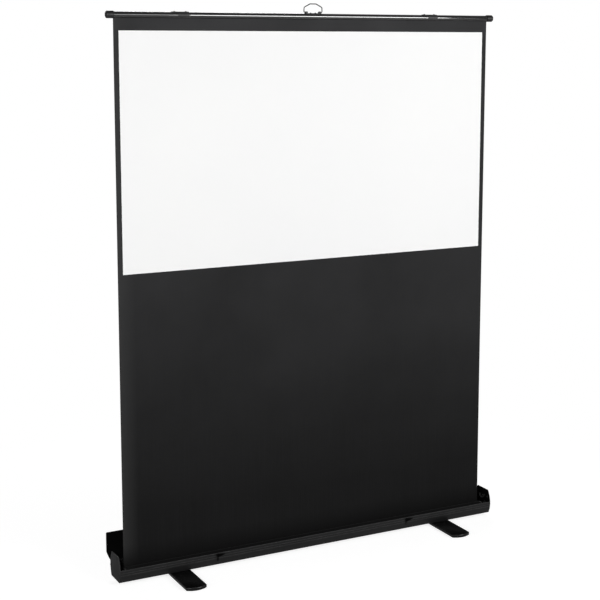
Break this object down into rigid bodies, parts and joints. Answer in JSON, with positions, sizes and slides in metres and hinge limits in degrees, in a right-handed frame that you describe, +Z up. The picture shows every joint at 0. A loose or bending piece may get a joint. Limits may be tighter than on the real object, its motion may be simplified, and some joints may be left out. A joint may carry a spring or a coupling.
{
  "type": "floor-standing projector screen",
  "caption": "Pull-up projection screen on a long base: folding rear arms lift a tube with black-bordered white fabric off a spring roller, with swivel feet and a hinged lid.",
  "frame": {"origin": "on the floor under the middle of the screen, in the plane of the fabric", "axes": "+X to the right seen from the front, +Y to the back, +Z up"},
  "size_m": [1.4228, 0.356, 1.8342],
  "materials": {
    "housing_paint": "fine satin black powder coat",
    "gloss_paint": "gloss black paint",
    "black_plastic": "moulded black plastic",
    "rubber": "soft black rubber",
    "steel": "bright zinc-plated steel",
    "roller_aluminium": "mill-finish tube",
    "black_cloth": "coated black screen cloth",
    "white_cloth": "matte white viewing surface"
  },
  "bodies": {
    "base": {"base_trough": "housing_paint", "end_plate_left": "housing_paint", "end_plate_right": "housing_paint", "plate_screw_left_front": "housing_paint", "plate_screw_left_rear": "housing_paint", "plate_screw_right_front": "housing_paint", "plate_screw_right_rear": "housing_paint", "roller_bracket_left": "black_plastic", "roller_bracket_right": "black_plastic", "spring_shaft": "steel", "latch_keeper_left": "black_plastic", "latch_keeper_right": "black_plastic", "arm_bracket_left": "steel", "arm_bracket_right": "steel", "arm_base_pin_left": "steel", "arm_base_pin_right": "steel", "foot_bolt_left": "steel", "foot_bolt_right": "steel", "tube_rest_left": "gloss_paint", "tube_rest_right": "gloss_paint", "fabric_backing": "black_cloth", "white_surface": "white_cloth"},
    "lid": {"lid": "housing_paint", "lid_hasp_left": "steel", "lid_hasp_right": "steel"},
    "roller": {"roller_tube": "roller_aluminium", "roller_plug_left": "black_plastic", "roller_plug_right": "black_plastic", "fabric_roll": "black_cloth", "roller_spring": "steel"},
    "lower_arm_left": {"lower_arm_left": "housing_paint", "elbow_pin_left": "steel"},
    "upper_arm_left": {"upper_arm_left": "housing_paint"},
    "lower_arm_right": {"lower_arm_right": "housing_paint", "elbow_pin_right": "steel"},
    "upper_arm_right": {"upper_arm_right": "housing_paint"},
    "top_bar": {"top_tube": "gloss_paint", "tube_cap_left": "black_plastic", "tube_cap_right": "black_plastic", "tube_clip_left": "gloss_paint", "tube_clip_right": "gloss_paint", "top_pin_left": "steel", "top_pin_right": "steel", "handle_plate": "gloss_paint", "handle_rivet_left": "gloss_paint", "handle_rivet_right": "gloss_paint", "clip_left_rivet_outer": "gloss_paint", "clip_left_rivet_inner": "gloss_paint", "clip_right_rivet_outer": "gloss_paint", "clip_right_rivet_inner": "gloss_paint"},
    "handle": {"handle_wire": "gloss_paint"},
    "foot_left": {"foot_left": "black_plastic", "foot_sole_left": "rubber"},
    "foot_right": {"foot_right": "black_plastic", "foot_sole_right": "rubber"},
    "hook_left": {"latch_hook_left": "black_plastic"},
    "hook_right": {"latch_hook_right": "black_plastic"}
  },
  "joints": [
    {"name": "lift", "type": "hinge", "parent": "base", "child": "lower_arm_left", "pos_m": [-0.455, 0.01825, 0.03], "axis": [0, 1, 0], "range_deg": [0, 89.29], "deforming": ["fabric_backing", "white_surface"]},
    {"name": "elbow_left", "type": "hinge", "parent": "lower_arm_left", "child": "upper_arm_left", "pos_m": [-0.455, 0.014, 0.9], "axis": [0, 1, 0], "range_deg": [-178.58, 0]},
    {"name": "top_left", "type": "hinge", "parent": "upper_arm_left", "child": "top_bar", "pos_m": [-0.455, 0.011, 1.77], "axis": [0, 1, 0], "range_deg": [0, 89.29]},
    {"name": "lower_right", "type": "hinge", "parent": "base", "child": "lower_arm_right", "pos_m": [0.455, 0.03475, 0.03], "axis": [0, 1, 0], "range_deg": [-89.29, 0]},
    {"name": "elbow_right", "type": "hinge", "parent": "lower_arm_right", "child": "upper_arm_right", "pos_m": [0.455, 0.0305, 0.9], "axis": [0, 1, 0], "range_deg": [0, 178.58]},
    {"name": "lid", "type": "hinge", "parent": "base", "child": "lid", "pos_m": [0, 0.0525, 0.053], "axis": [1, 0, 0], "range_deg": [0, 28]},
    {"name": "handle", "type": "hinge", "parent": "top_bar", "child": "handle", "pos_m": [0, 0, 1.8055], "axis": [1, 0, 0], "range_deg": [-90, 90]},
    {"name": "foot_left", "type": "hinge", "parent": "base", "child": "foot_left", "pos_m": [-0.5, 0, 0.002], "axis": [0, 0, 1], "range_deg": [0, 90]},
    {"name": "foot_right", "type": "hinge", "parent": "base", "child": "foot_right", "pos_m": [0.5, 0, 0.002], "axis": [0, 0, 1], "range_deg": [-90, 0]},
    {"name": "hook_left", "type": "hinge", "parent": "base", "child": "hook_left", "pos_m": [-0.3722, -0.0489, 0.0485], "axis": [0, 1, 0], "range_deg": [-90, 0]},
    {"name": "hook_right", "type": "hinge", "parent": "base", "child": "hook_right", "pos_m": [0.3518, -0.0489, 0.0485], "axis": [0, 1, 0], "range_deg": [-90, 0]},
    {"name": "roller", "type": "hinge", "parent": "base", "child": "roller", "pos_m": [0, -0.01541, 0.038], "axis": [1, 0, 0], "continuous": true}
  ],
  "couplings": [
    {"joint": "elbow_left", "follows": "lift", "ratio": -2},
    {"joint": "top_left", "follows": "lift", "ratio": 1},
    {"joint": "lower_right", "follows": "lift", "ratio": -1},
    {"joint": "elbow_right", "follows": "lift", "ratio": 2}
  ]
}
